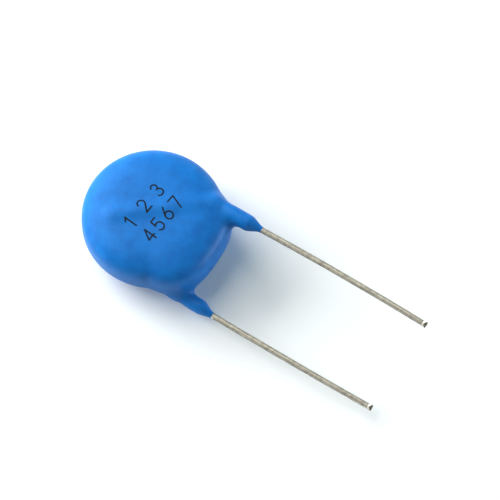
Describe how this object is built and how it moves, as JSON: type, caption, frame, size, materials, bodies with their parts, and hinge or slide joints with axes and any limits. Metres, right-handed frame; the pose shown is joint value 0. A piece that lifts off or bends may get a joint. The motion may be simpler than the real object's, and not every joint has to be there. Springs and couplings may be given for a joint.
{
  "type": "ceramic disc capacitor",
  "caption": "Blue epoxy-dipped ceramic disc capacitor: round flat body with straight parallel wire leads leaving one edge.",
  "frame": {"origin": "middle of the bounding box in plan, on the surface that the part lies on", "axes": "+Z out of the front (marked) face, leads run along -Y, +X towards the side of the front lead"},
  "size_m": [0.0196, 0.0501, 0.008],
  "materials": {
    "epoxy_coat": "satin dipped and cured blue epoxy",
    "fired_ceramic": "unglazed fired titanate ceramic",
    "silver_film": "matt fired silver film",
    "tinned_wire": "drawn tinned wire, slightly dulled",
    "solder": "smooth soft solder"
  },
  "bodies": {
    "root": {"coating": "epoxy_coat", "ceramic_disc": "fired_ceramic", "front_electrode": "silver_film", "rear_electrode": "silver_film", "front_lead": "tinned_wire", "rear_lead": "tinned_wire", "front_solder": "solder", "rear_solder": "solder"}
  },
  "joints": []
}
